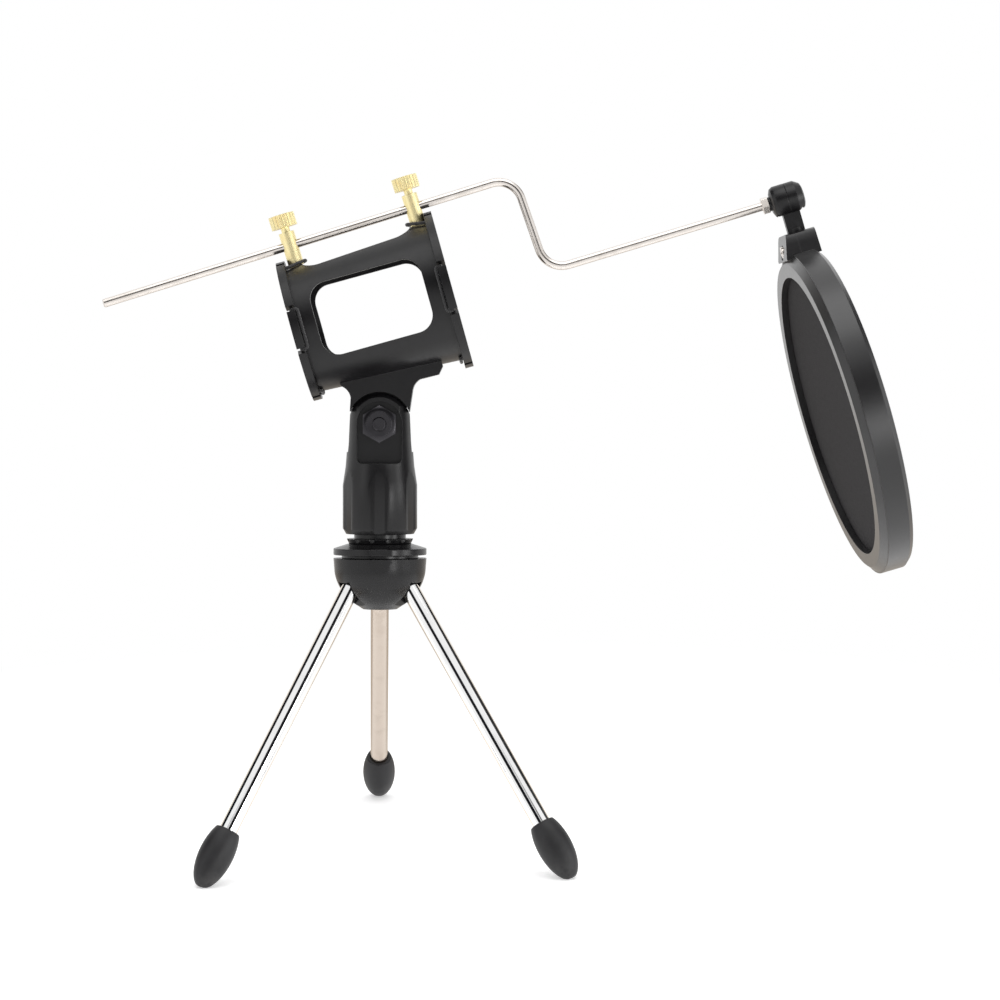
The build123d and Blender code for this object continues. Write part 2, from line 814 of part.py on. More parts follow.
with BuildPart() as socket_barrel:
    with BuildSketch(upright(socket)):
        with BuildLine():
            Polyline(*barrel_profile)
        make_face()
    revolve(axis=socket_axis)
    with BuildSketch(crosswise(socket, -socket_half_length - collar_length)):
        Circle(3.3)
    extrude(amount=collar_length + 1)
    with BuildSketch(socket.offset(stem_slot_top)):
        Rectangle(2 * stem_slot_half_length, 2 * stem_slot_half_width)
    extrude(amount=-10, mode=Mode.SUBTRACT)
    with BuildSketch(crosswise(socket, -12)):
        Circle(rod_radius + running_gap)
    extrude(amount=12, mode=Mode.SUBTRACT)
    with BuildSketch(upright(socket)):
        with BuildLine():
            ThreePointArc((-cavity_radius, 0), (0, cavity_radius), (cavity_radius, 0))
            Line((cavity_radius, 0), (-cavity_radius, 0))
        make_face()
    revolve(axis=socket_axis, mode=Mode.SUBTRACT)

for half, keep in (("rod_half", Keep.BOTTOM), ("cap_half", Keep.TOP)):
    with BuildPart() as shell:
        add(socket_barrel.part)
        split(bisect_by=crosswise(socket, 0), keep=keep)
    shell.part.label = "socket_" + half
    export_step(shell.part, "parts/socket_" + half + ".step")

# Stem: a ball, a flat blade that shows below the socket, and a round spigot with a collar in the filter's neck.
stem_width = 8.0
stem_thickness = 5.8
spigot_start = stem_top - stem_length
spigot_end = spigot_start - 4.8
with BuildPart() as ball_stem:
    with BuildSketch(upright(stem)):
        with BuildLine():
            ThreePointArc((0, ball_radius), (ball_radius, 0), (0, -ball_radius))
            Line((0, -ball_radius), (0, ball_radius))
        make_face()
    revolve(axis=stem_axis)
    with BuildSketch(upright(stem)):
        with BuildLine():
            Polyline(
                (-3.1, -3.0),
                (3.1, -3.0),
                (stem_width / 2, -5.6),
                (stem_width / 2, spigot_start + running_gap),
                (-stem_width / 2, spigot_start + running_gap),
                (-stem_width / 2, -5.6),
                (-3.1, -3.0),
            )
        make_face()
    extrude(amount=stem_thickness / 2, both=True)
    with BuildSketch(stem.offset(spigot_end)):
        Circle(3.5)
    extrude(amount=spigot_start - spigot_end + 2)
    with BuildSketch(stem.offset(spigot_end)):
        Circle(4.6)
    extrude(amount=1.4)

ball_stem.part.label = "ball_stem"
export_step(ball_stem.part, "parts/ball_stem.step")


# ---------------------------------------------------------------- filter hoop
shell_wall = 1.6
screw_height = 77.6
neck_half_span = 15.0
neck_setback = 2.8


def neck_outline():
    """Points of the neck block seen along the hoop's axis, in (y, z)."""
    return (
        (-8.6, stem_top),
        (8.6, stem_top),
        (10.3, stem_top - 0.7),
        (11.1, stem_top - 2.4),
        (11.5, 79.5),
        (12.5, 73.5),
        (-12.5, 73.5),
        (-11.5, 79.5),
        (-11.1, stem_top - 2.4),
        (-10.3, stem_top - 0.7),
        (-8.6, stem_top),
    )


with BuildPart() as neck_hollow:
    # Space for the stem's spigot and collar, and for the clamping screw and its head.
    with BuildSketch(hoop.offset(stem_length + spigot_end - 0.1)):
        Circle(3.5 + 0.06)
    extrude(amount=20)
    with BuildSketch(hoop.offset(stem_length + spigot_end - 0.1)):
        Circle(4.6 + 0.06)
    extrude(amount=1.6)
    with BuildSketch(crosswise(hoop, face_plane - 1)):
        with Locations((0, screw_height)):
            Circle(3.4)
    extrude(amount=3.2)
    with BuildSketch(crosswise(hoop, face_plane)):
        with Locations((0, screw_height)):
            Circle(1.5)
    extrude(amount=11.5)

with BuildPart() as hoop_front:
    with BuildSketch(upright(hoop)):
        with BuildLine():
            Polyline(
                (face_plane, opening_radius),
                (face_plane, 72.2),
                (band_front, 75.6),
                (band_front, 73.6),
                (face_plane + shell_wall, 71.6),
                (face_plane + shell_wall, opening_radius + shell_wall),
                (front_mesh_plane, opening_radius + shell_wall),
                (front_mesh_plane, opening_radius),
                (face_plane, opening_radius),
            )
        make_face()
    revolve(axis=hoop_axis)
    with BuildSketch(crosswise(hoop, face_plane)):
        with BuildLine():
            Polyline(*neck_outline())
        make_face()
    extrude(amount=block_split - face_plane)
    # The rear shell's band passes under this half of the neck.
    with BuildSketch(crosswise(hoop, band_front)):
        Circle(hoop_radius)
        Circle(70.0, mode=Mode.SUBTRACT)
    extrude(amount=block_split - band_front, mode=Mode.SUBTRACT)
    # The neck's front leans back from the ring's face.
    with BuildSketch(upright(hoop)):
        with BuildLine():
            Polyline(
                (face_plane, 74.5),
                (face_plane + neck_setback, stem_top),
                (face_plane + neck_setback, stem_top + 1),
                (face_plane - 1, stem_top + 1),
                (face_plane - 1, 74.5),
                (face_plane, 74.5),
            )
        make_face()
    extrude(amount=neck_half_span, both=True, mode=Mode.SUBTRACT)
    add(neck_hollow.part, mode=Mode.SUBTRACT)

hoop_front.part.label = "hoop_front"
export_step(hoop_front.part, "parts/hoop_front.step")

with BuildPart() as hoop_rear:
    with BuildSketch(upright(hoop)):
        with BuildLine():
            Polyline(
                (band_front, 74.4),
                (band_front, hoop_radius),
                (back_plane - 2.0, hoop_radius),
                (back_plane, 74.4),
                (back_plane, opening_radius),
                (rear_mesh_plane, opening_radius),
                (rear_mesh_plane, opening_radius + shell_wall),
                (back_plane - shell_wall, opening_radius + shell_wall),
                (back_plane - shell_wall, 73.6),
                (back_plane - 2.5, 74.4),
                (band_front, 74.4),
            )
        make_face()
    revolve(axis=hoop_axis)
    with BuildSketch(crosswise(hoop, block_split)):
        with BuildLine():
            Polyline(*neck_outline())
        make_face()
    extrude(amount=block_back - block_split)
    add(neck_hollow.part, mode=Mode.SUBTRACT)

hoop_rear.part.label = "hoop_rear"
export_step(hoop_rear.part, "parts/hoop_rear.step")

# Spacer ring that holds the two meshes apart against the shells' inner lips.
with BuildPart() as mesh_spacer:
    with BuildSketch(crosswise(hoop, front_mesh_plane + mesh_thickness)):
        Circle(mesh_radius)
        Circle(opening_radius, mode=Mode.SUBTRACT)
    extrude(amount=rear_mesh_plane - front_mesh_plane - 2 * mesh_thickness)

mesh_spacer.part.label = "mesh_spacer"
export_step(mesh_spacer.part, "parts/mesh_spacer.step")

for name, start in (("front", front_mesh_plane), ("rear", rear_mesh_plane - mesh_thickness)):
    with BuildPart() as mesh:
        with BuildSketch(crosswise(hoop, start)):
            Circle(mesh_radius)
        extrude(amount=mesh_thickness)
    mesh.part.label = "mesh_" + name
    export_step(mesh.part, "parts/mesh_" + name + ".step")

screw_seat = face_plane + 2.2
with BuildPart() as neck_screw:
    with BuildSketch(crosswise(hoop, screw_seat)):
        with Locations((0, screw_height)):
            Circle(1.5)
    extrude(amount=9.0)
    with BuildSketch(crosswise(hoop, screw_seat)):
        with Locations((0, screw_height)):
            Circle(2.8)
    extrude(amount=-1.7)
    with BuildSketch(crosswise(hoop, screw_seat - 1.7)):
        with Locations((0, screw_height)):
            Rectangle(3.4, 0.7)
            Rectangle(0.7, 3.4)
    extrude(amount=0.9, mode=Mode.SUBTRACT)

neck_screw.part.label = "neck_screw"
export_step(neck_screw.part, "parts/neck_screw.step")
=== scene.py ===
import json
import math

import bmesh
import bpy
from mathutils import Matrix, Vector


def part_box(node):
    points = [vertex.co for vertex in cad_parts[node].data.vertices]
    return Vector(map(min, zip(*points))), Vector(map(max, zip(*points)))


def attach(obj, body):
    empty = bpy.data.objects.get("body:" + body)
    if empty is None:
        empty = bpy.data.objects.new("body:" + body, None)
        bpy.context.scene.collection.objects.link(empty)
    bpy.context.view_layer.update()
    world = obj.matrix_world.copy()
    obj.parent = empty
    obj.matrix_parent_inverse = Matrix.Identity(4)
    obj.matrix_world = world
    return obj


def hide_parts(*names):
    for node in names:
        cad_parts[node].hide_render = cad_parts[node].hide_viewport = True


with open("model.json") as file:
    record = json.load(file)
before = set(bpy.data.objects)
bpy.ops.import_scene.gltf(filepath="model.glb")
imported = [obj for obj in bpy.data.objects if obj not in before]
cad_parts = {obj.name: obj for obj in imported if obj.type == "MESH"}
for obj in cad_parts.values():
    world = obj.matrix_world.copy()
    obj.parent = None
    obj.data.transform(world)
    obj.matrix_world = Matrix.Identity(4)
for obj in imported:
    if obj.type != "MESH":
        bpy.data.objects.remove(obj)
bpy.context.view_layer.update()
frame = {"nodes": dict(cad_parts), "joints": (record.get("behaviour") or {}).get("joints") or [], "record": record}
nodes = frame["nodes"]
joints = {joint["name"]: joint for joint in frame["joints"]}
mounts = {mount["name"]: mount for mount in frame["record"]["mounts"]}

MM = 0.001
WHITE = (1.0, 1.0, 1.0)

# Brightness of the floor and of the two halves of the room, as metal and shading see them.
FLOOR_GLOW = 0.4
ROOM_FRONT = 0.92
ROOM_BACK = 1.05


# ---------------------------------------------------------------- frames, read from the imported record
def frame_matrix(origin, x_axis, z_axis):
    """Matrix of a frame from its origin, its z axis and a direction close to its x axis."""
    z = Vector(z_axis).normalized()
    y = z.cross(Vector(x_axis)).normalized()
    x = y.cross(z)
    matrix = Matrix((x, y, z)).transposed().to_4x4()
    matrix.translation = Vector(origin)
    return matrix


BOLT_HEIGHT = 74.1 * MM
column_up = Vector(joints["clip_turn"]["axis"])
bolt_axis = Vector(joints["cradle_tilt"]["axis"])
bolt_centre = Vector(joints["cradle_tilt"]["pos_m"])
column_right = bolt_axis.cross(column_up)
column = frame_matrix(bolt_centre - column_up * BOLT_HEIGHT, column_right, column_up)

seat = mounts["microphone_seat"]
cradle_right = Vector(seat["axis"])
cradle = frame_matrix(seat["pos_m"], cradle_right, cradle_right.cross(bolt_axis))


def disc_frame(node):
    """Frame of a thin disc: centred in it, z square to its face, y close to the stem's direction."""
    mesh = nodes[node].data
    widest = max(mesh.polygons, key=lambda face: face.area)
    low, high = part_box(node)
    stem = Vector(joints["filter_swivel"]["axis"])
    normal = widest.normal if widest.normal.x < 0 else -widest.normal
    return frame_matrix((low + high) / 2, stem.cross(normal), normal)


# ---------------------------------------------------------------- node helpers for materials
class Shader:
    """Short names for building a node material."""

    def __init__(self, name):
        self.material = bpy.data.materials.new(name)
        self.material.use_nodes = True
        self.tree = self.material.node_tree
        self.tree.nodes.clear()
        self.output = self.node("ShaderNodeOutputMaterial")
        self.surface = self.node("ShaderNodeBsdfPrincipled")
        self.tree.links.new(self.surface.outputs[0], self.output.inputs["Surface"])
        self.place = self.node("ShaderNodeTexCoord").outputs["Object"]

    def node(self, kind, **settings):
        made = self.tree.nodes.new(kind)
        for key, value in settings.items():
            setattr(made, key, value)
        return made

    def link(self, source, target):
        if hasattr(source, "links"):
            self.tree.links.new(source, target)
        else:
            target.default_value = source

    def math(self, operation, a, b=0.0):
        made = self.node("ShaderNodeMath", operation=operation)
        self.link(a, made.inputs[0])
        self.link(b, made.inputs[1])
        return made.outputs[0]

    def noise(self, size, detail=2.0, stretch=None, distortion=0.0):
        """Noise whose features are about size metres across."""
        made = self.node("ShaderNodeTexNoise")
        made.inputs["Scale"].default_value = 1.0 / size
        made.inputs["Detail"].default_value = detail
        made.inputs["Distortion"].default_value = distortion
        place = self.place
        if stretch is not None:
            mapping = self.node("ShaderNodeMapping")
            mapping.inputs["Scale"].default_value = stretch
            self.link(place, mapping.inputs["Vector"])
            place = mapping.outputs[0]
        self.link(place, made.inputs["Vector"])
        return made.outputs["Fac"]

    def span(self, value, low, high, start=0.0, end=1.0):
        """value mapped from start..end to low..high."""
        made = self.node("ShaderNodeMapRange")
        self.link(value, made.inputs["Value"])
        made.inputs["From Min"].default_value = start
        made.inputs["From Max"].default_value = end
        made.inputs["To Min"].default_value = low
        made.inputs["To Max"].default_value = high
        return made.outputs["Result"]

    def mix(self, factor, first, second):
        made = self.node("ShaderNodeMix", data_type="RGBA")
        self.link(factor, made.inputs["Factor"])
        for colour, slot in ((first, "A"), (second, "B")):
            target = next(s for s in made.inputs if s.name == slot and s.type == "RGBA")
            self.link(colour if hasattr(colour, "links") else (*colour, 1.0), target)
        return next(s for s in made.outputs if s.type == "RGBA")

    def edges(self, radius, amount=1.0):
        """1 on edges and 0 on flat ground, from how far the rounded normal turns: the mask for edge wear and for a
        painted edge highlight.
        """
        plain = self.node("ShaderNodeNewGeometry").outputs["Normal"]
        dot = self.node("ShaderNodeVectorMath", operation="DOT_PRODUCT")
        self.link(self.rounded(radius), dot.inputs[0])
        self.link(plain, dot.inputs[1])
        turned = self.math("SUBTRACT", 1.0, dot.outputs["Value"])
        return self.span(turned, 0.0, amount, 0.01, 0.14)

    def rounded(self, radius):
        """The surface's normal with its edges rounded off."""
        made = self.node("ShaderNodeBevel", samples=4)
        made.inputs["Radius"].default_value = radius
        return made.outputs[0]

    def bump(self, height, distance, strength=1.0, normal=None):
        made = self.node("ShaderNodeBump")
        made.inputs["Strength"].default_value = strength
        made.inputs["Distance"].default_value = distance
        self.link(height, made.inputs["Height"])
        if normal is not None:
            self.link(normal, made.inputs["Normal"])
        return made.outputs[0]

    def cross_fade(self, factor, first, second):
        """A mix of two shaders."""
        made = self.node("ShaderNodeMixShader")
        self.link(factor, made.inputs["Fac"])
        self.link(first, made.inputs[1])
        self.link(second, made.inputs[2])
        return made.outputs[0]

    def finish(self, **inputs):
        for name, value in inputs.items():
            target = self.surface.inputs[name.replace("_", " ")]
            if isinstance(value, tuple) and len(value) == 3:
                value = (*value, 1.0)
            self.link(value, target)
        return self.material


def moulded_plastic(name, dark, light, roughness, coat=0.0, depth=0.012 * MM, edge_wear_and_highlight=0.35):
    """Black moulded plastic: faint flow marks, a spark-eroded grain, and lighter edges, partly wear and partly a
    painted highlight.
    """
    shader = Shader(name)
    flow = shader.noise(22 * MM, 3.0, distortion=0.6)
    speck = shader.noise(0.35 * MM, 2.0)
    dust = shader.noise(2.4 * MM, 6.0)
    colour = shader.mix(shader.span(flow, 0.0, 1.0, 0.3, 0.7), dark, light)
    patchy = shader.span(dust, 0.35, 1.0, 0.35, 0.6)
    # Lighter edges: partly rubbed wear, partly a painted highlight along the edges.
    rubbed_and_highlit = shader.math("MULTIPLY", shader.edges(0.45 * MM, edge_wear_and_highlight), patchy)
    lighter = tuple(min(1.0, c * 2.6 + 0.02) for c in light)
    colour = shader.mix(rubbed_and_highlit, colour, lighter)
    rough = shader.math("ADD", shader.span(dust, -0.02, 0.03, 0.3, 0.7), shader.span(flow, -0.02, 0.02))
    rough = shader.math("ADD", rough, roughness)
    normal = shader.bump(speck, depth, 0.7, shader.rounded(0.4 * MM))
    return shader.finish(
        Base_Color=colour,
        Roughness=rough,
        Normal=normal,
        IOR=1.42,
        Coat_Weight=coat,
        Coat_Roughness=0.32,
    )


def plated_metal(name, colour, tarnish, roughness, scratch=WHITE, edge_wear_and_highlight=0.25, grazing_reflection_tint=WHITE):
    """Bright plate: hairline scratches, smudges, darker handling marks, lighter edges that are partly wear and
    partly a painted highlight, and a painted reflection of warm surroundings at glancing angles.
    """
    shader = Shader(name)
    smudge = shader.noise(9 * MM, 4.0, distortion=0.8)
    line = shader.noise(0.5 * MM, 3.0, stretch=scratch)
    mark = shader.span(smudge, 0.0, 1.0, 0.48, 0.75)
    shade = shader.mix(mark, colour, tarnish)
    # Lighter edges: partly wear, partly a painted highlight along the edges.
    shade = shader.mix(shader.edges(0.3 * MM, edge_wear_and_highlight), shade, tuple(min(1.0, c * 1.1) for c in colour))
    # Painted reflection: towards glancing angles the colour is tinted as if reflecting warm surroundings.
    painted_reflection_mask = shader.span(shader.node("ShaderNodeLayerWeight").outputs["Facing"], 0.0, 1.0, 0.35, 0.6)
    shade = shader.mix(painted_reflection_mask, shade, tuple(c * r for c, r in zip(colour, grazing_reflection_tint)))
    rough = shader.math("ADD", shader.span(smudge, 0.0, 0.05, 0.35, 0.8), shader.span(line, 0.0, 0.05))
    rough = shader.math("ADD", rough, roughness)
    normal = shader.bump(line, 0.001 * MM, 0.12, shader.rounded(0.3 * MM))
    return shader.finish(Base_Color=shade, Metallic=1.0, Roughness=rough, Normal=normal)


def soft_rubber(name):
    """Matt rubber with a fine bloom, scuffed towards the floor."""
    shader = Shader(name)
    bloom = shader.noise(5 * MM, 5.0)
    grain = shader.noise(0.25 * MM, 3.0)
    height = shader.node("ShaderNodeSeparateXYZ")
    shader.link(shader.place, height.inputs[0])
    low = shader.span(height.outputs["Z"], 1.0, 0.0, 0.0, 9 * MM)
    scuff = shader.math("MULTIPLY", low, shader.span(bloom, 0.0, 0.7, 0.4, 0.62))
    dark, light = (0.009, 0.0085, 0.0095), (0.016, 0.0155, 0.017)
    colour = shader.mix(shader.span(bloom, 0.0, 1.0, 0.3, 0.7), dark, light)
    colour = shader.mix(scuff, colour, (0.06, 0.058, 0.056))
    normal = shader.bump(grain, 0.02 * MM, 0.6)
    return shader.finish(
        Base_Color=colour, Roughness=shader.span(bloom, 0.42, 0.55), Normal=normal, IOR=1.44
    )


def woven_mesh(name, threads):
    """Open nylon weave: dark round threads with small holes between them."""
    shader = Shader(name)
    wave = {}
    split = shader.node("ShaderNodeSeparateXYZ")
    uv = shader.node("ShaderNodeUVMap", uv_map="weave").outputs[0]
    shader.link(uv, split.inputs[0])
    for axis in ("X", "Y"):
        turns = shader.math("MULTIPLY", split.outputs[axis], threads * math.pi)
        wave[axis] = shader.math("ABSOLUTE", shader.math("SINE", turns))
    thread = shader.math("MAXIMUM", wave["X"], wave["Y"])
    hole = shader.math("LESS_THAN", thread, 0.42)
    slub = shader.noise(1.6 * MM, 3.0)
    colour = shader.mix(slub, (0.03, 0.029, 0.03), (0.05, 0.048, 0.05))
    normal = shader.bump(thread, 0.05 * MM, 0.6)
    shallow = shader.node("ShaderNodeLayerWeight").outputs["Facing"]
    open_hole = shader.math("MULTIPLY", hole, shader.span(shallow, 1.0, 0.0, 0.55, 0.75))
    alpha = shader.math("SUBTRACT", 1.0, open_hole)
    return shader.finish(
        Base_Color=colour, Roughness=0.85, Normal=normal, Alpha=alpha, Specular_IOR_Level=0.08
    )


def braided_cord(name):
    """Black elastic in a braided sleeve: crossing strands, with painted shade in the braid's low spots and lighter
    colour on its raised ones.
    """
    shader = Shader(name)
    split = shader.node("ShaderNodeSeparateXYZ")
    uv = shader.node("ShaderNodeUVMap", uv_map="braid").outputs[0]
    shader.link(uv, split.inputs[0])
    strands = []
    for sign in (1.0, -1.0):
        along = shader.math("MULTIPLY", split.outputs["X"], 2 * math.pi)
        around = shader.math("MULTIPLY", split.outputs["Y"], sign * 8 * math.pi)
        strands.append(shader.math("SINE", shader.math("ADD", along, around)))
    braid = shader.math("MULTIPLY", strands[0], strands[1])
    fibre = shader.noise(0.12 * MM, 2.0)
    # Colour follows the braid's relief: painted shade where it is low, lighter where it stands up.
    dark, light = (0.012, 0.012, 0.013), (0.05, 0.048, 0.05)
    colour = shader.mix(shader.span(braid, 0.0, 1.0, -1.0, 1.0), dark, light)
    normal = shader.bump(braid, 0.08 * MM, 0.8)
    normal = shader.bump(fibre, 0.02 * MM, 0.5, normal)
    return shader.finish(
        Base_Color=colour, Roughness=0.7, Normal=normal, Sheen_Weight=0.6, Sheen_Roughness=0.35
    )


def studio_floor(name):
    """A pale sheet that fades into white. Only mirrored rays see the warmer patch behind the stand."""
    shader = Shader(name)
    tone = shader.noise(180 * MM, 2.0)
    colour = shader.mix(tone, (0.88, 0.88, 0.88), (0.92, 0.92, 0.92))
    shader.finish(Base_Color=colour, Roughness=0.7, Specular_IOR_Level=0.1)
    shader.surface.inputs["Emission Color"].default_value = (1.0, 1.0, 1.0, 1.0)
    shader.surface.inputs["Emission Strength"].default_value = FLOOR_GLOW
    far = shader.node("ShaderNodeVectorMath", operation="LENGTH")
    shader.link(shader.place, far.inputs[0])
    fade = shader.span(far.outputs["Value"], 0.0, 1.0, 0.22, 0.5)
    white = shader.node("ShaderNodeEmission")
    warm = shader.node("ShaderNodeEmission")
    warm.inputs["Color"].default_value = (0.66, 0.6, 0.53, 1.0)
    axes = shader.node("ShaderNodeSeparateXYZ")
    shader.link(shader.place, axes.inputs[0])
    behind = shader.span(axes.outputs["Y"], 0.0, 1.0, 0.1, 0.16)
    near = shader.span(far.outputs["Value"], 1.0, 0.0, 0.6, 0.9)
    warmth = shader.math("MULTIPLY", behind, near)
    unseen = shader.math("SUBTRACT", 1.0, shader.node("ShaderNodeLightPath").outputs["Is Camera Ray"])
    pale = shader.cross_fade(fade, shader.surface.outputs[0], white.outputs[0])
    mirrored = shader.cross_fade(shader.math("MULTIPLY", warmth, unseen), pale, warm.outputs[0])
    shader.link(mirrored, shader.output.inputs["Surface"])
    return shader.material


BLACK = {"dark": (0.0045, 0.0042, 0.0048), "light": (0.007, 0.0066, 0.0074)}
HOOP_BLACK = {"dark": (0.005, 0.0046, 0.0052), "light": (0.008, 0.0074, 0.0083)}
ALONG_TUBE = (1, 1, 0.08)
ALONG_ROD = (0.08, 1, 1)
WEAVE_THREADS = 150

MATERIALS = {
    "hub_casting": moulded_plastic("hub_casting", **BLACK, roughness=0.26),
    "clip_plastic": moulded_plastic("clip_plastic", **BLACK, roughness=0.33),
    "hoop_plastic": moulded_plastic("hoop_plastic", **HOOP_BLACK, roughness=0.33, coat=0.7),
    # The warm tint at glancing angles is a painted reflection of warm surroundings on the chrome.
    "chrome_tube": plated_metal(
        "chrome_tube", (0.95, 0.95, 0.95), (0.88, 0.88, 0.88), 0.02, ALONG_TUBE, grazing_reflection_tint=(0.78, 0.71, 0.62)
    ),
    "nickel_tube": plated_metal("nickel_tube", (0.6, 0.52, 0.45), (0.54, 0.46, 0.39), 0.16, ALONG_TUBE),
    "zinc_steel": plated_metal("zinc_steel", (0.74, 0.74, 0.77), (0.6, 0.6, 0.6), 0.2),
    "brass": plated_metal("brass", (1.0, 0.88, 0.5), (0.98, 0.78, 0.4), 0.34),
    "nickel_rod": plated_metal("nickel_rod", (0.79, 0.74, 0.695), (0.66, 0.61, 0.56), 0.16, ALONG_ROD),
    # Strong edge lightening on black steel: partly wear, partly a painted highlight on its edges.
    "black_steel": plated_metal(
        "black_steel", (0.055, 0.053, 0.058), (0.034, 0.033, 0.036), 0.24, edge_wear_and_highlight=0.9
    ),
    "rubber": soft_rubber("rubber"),
    "elastic": braided_cord("elastic"),
    "mesh": woven_mesh("mesh", WEAVE_THREADS),
}


# ---------------------------------------------------------------- CAD nodes: rounded edges and materials
# Widths in mm. The pieces that aren't listed have their edges rounded by their material alone.
BEVELS = {
    "hub_cap": 0.3,
    "lock_ring": 0.2,
    "tilt_washer": 0.15,
    "socket_cap_half": 0.25,
    "socket_rod_half": 0.25,
    "rod_lock_nut": 0.2,
    "foot_front_left": 0.5,
    "foot_front_right": 0.5,
    "foot_rear": 0.5,
    "thread_insert": 0.2,
    "neck_screw": 0.12,
    "hub_bolt": 0.2,
    "mesh_spacer": 0.1,
}
SHARP = math.radians(32)


def round_edges(node, width):
    """Welds the CAD mesh and bevels or splits its sharp edges, all by modifier, with smooth shading."""
    piece = nodes[node]
    mesh = piece.data
    if "custom_normal" in mesh.attributes:
        mesh.attributes.remove(mesh.attributes["custom_normal"])
    mesh.polygons.foreach_set("use_smooth", [True] * len(mesh.polygons))
    weld = piece.modifiers.new("weld", "WELD")
    weld.merge_threshold = 0.002 * MM
    if width:
        bevel = piece.modifiers.new("edges", "BEVEL")
        bevel.width = width * MM
        bevel.segments = 2
        bevel.limit_method = "ANGLE"
        bevel.angle_limit = SHARP
        bevel.use_clamp_overlap = False
        bevel.harden_normals = True
    else:
        split = piece.modifiers.new("edges", "EDGE_SPLIT")
        split.split_angle = SHARP


def dress_cad():
    slots = {entry["node"]: entry["material_slot"] for entry in frame["record"]["subparts"]}
    for node, piece in nodes.items():
        piece.data.materials.clear()
        piece.data.materials.append(MATERIALS[slots[node]])
        round_edges(node, BEVELS.get(node, 0))


# ---------------------------------------------------------------- pieces built here
def new_piece(name, body, slot, mesh, replaced):
    piece = bpy.data.objects.new(name, mesh)
    bpy.context.scene.collection.objects.link(piece)
    mesh.materials.append(MATERIALS[slot])
    mesh.polygons.foreach_set("use_smooth", [True] * len(mesh.polygons))
    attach(piece, body)
    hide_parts(replaced)


SHEET_RADIUS = 69.0 * MM


def woven_sheet(name, node):
    """A round sheet with the slight slack and ripple of nylon pulled over its ring."""
    matrix = disc_frame(node)
    radius = SHEET_RADIUS
    rings, spokes = 46, 144
    made = bmesh.new()
    weave = made.loops.layers.uv.new("weave")
    grid = []
    for ring in range(rings + 1):
        share = ring / rings
        row = []
        for spoke in range(spokes):
            angle = 2 * math.pi * spoke / spokes
            x, y = radius * share * math.cos(angle), radius * share * math.sin(angle)
            sag = 0.10 * math.cos(share * math.pi / 2)
            ripple = 0.02 * math.sin(5 * angle + 1.3) * share * (1 - share)
            row.append(made.verts.new(matrix @ Vector((x, y, -(sag + ripple) * MM))))
            if ring == 0:
                break
        grid.append(row)
    for ring in range(rings):
        for spoke in range(spokes):
            after = (spoke + 1) % spokes
            if ring == 0:
                made.faces.new((grid[0][0], grid[1][spoke], grid[1][after]))
            else:
                made.faces.new(
                    (grid[ring][spoke], grid[ring + 1][spoke], grid[ring + 1][after], grid[ring][after])
                )
    inverse = matrix.inverted()
    for face in made.faces:
        for loop in face.loops:
            flat = inverse @ loop.vert.co
            loop[weave].uv = (0.5 + flat.x / (2 * radius), 0.5 + flat.y / (2 * radius))
    mesh = bpy.data.meshes.new(name)
    made.to_mesh(mesh)
    made.free()
    new_piece(name, "filter", "mesh", mesh, node)


def rounded_path(points, radius, step):
    """Closed path through points with its corners rounded, sampled about every step."""
    path = []
    count = len(points)
    for index, corner in enumerate(points):
        before = points[index - 1] - corner
        after = points[(index + 1) % count] - corner
        reach = min(radius, before.length * 0.45, after.length * 0.45)
        start = corner + before.normalized() * reach
        end = corner + after.normalized() * reach
        for share in (0.0, 0.25, 0.5, 0.75, 1.0):
            path.append(start.lerp(corner, share).lerp(corner.lerp(end, share), share))
        gap = points[(index + 1) % count] - after.normalized() * min(radius, after.length * 0.45) - end
        extra = int(gap.length / step)
        for number in range(1, extra):
            path.append(end + gap * (number / extra))
    return path


def tube(name, body, slot, path, radius, sides, braid_pitch, replaced):
    """A closed braided tube along a path, with its strands standing proud in the mesh itself."""
    made = bmesh.new()
    layer = made.loops.layers.uv.new("braid")
    count = len(path)
    lengths = [0.0]
    for index in range(count):
        lengths.append(lengths[-1] + (path[(index + 1) % count] - path[index]).length)
    turns = round(lengths[-1] / braid_pitch)
    side_axis = (path[1] - path[0]).orthogonal().normalized()
    rings = []
    for index, point in enumerate(path):
        tangent = (path[(index + 1) % count] - path[index - 1]).normalized()
        side_axis = (side_axis - tangent * side_axis.dot(tangent)).normalized()
        other = tangent.cross(side_axis)
        along = 2 * math.pi * turns * lengths[index] / lengths[-1]
        ring = []
        for side in range(sides):
            angle = 2 * math.pi * side / sides
            braid = math.sin(along + 4 * angle) * math.sin(along - 4 * angle)
            swell = radius * (0.95 + 0.05 * braid)
            outward = side_axis * math.cos(angle) + other * math.sin(angle)
            ring.append(made.verts.new(point + outward * swell))
        rings.append(ring)
    first, last = rings[0], rings[-1]
    shift = min(range(sides), key=lambda s: (last[0].co - first[s].co).length)
    for index in range(count):
        closing = index == count - 1
        for side in range(sides):
            a, b = rings[index][side], rings[index][(side + 1) % sides]
            offset = shift if closing else 0
            ring = rings[(index + 1) % count]
            c, d = ring[(side + 1 + offset) % sides], ring[(side + offset) % sides]
            face = made.faces.new((a, b, c, d))
            v0, v1 = side / sides, (side + 1) / sides
            u0, u1 = (turns * length / lengths[-1] for length in lengths[index : index + 2])
            for loop, uv in zip(face.loops, ((u0, v0), (u0, v1), (u1, v1), (u1, v0))):
                loop[layer].uv = uv
    bmesh.ops.recalc_face_normals(made, faces=made.faces)
    mesh = bpy.data.meshes.new(name)
    made.to_mesh(mesh)
    made.free()
    new_piece(name, body, slot, mesh, replaced)


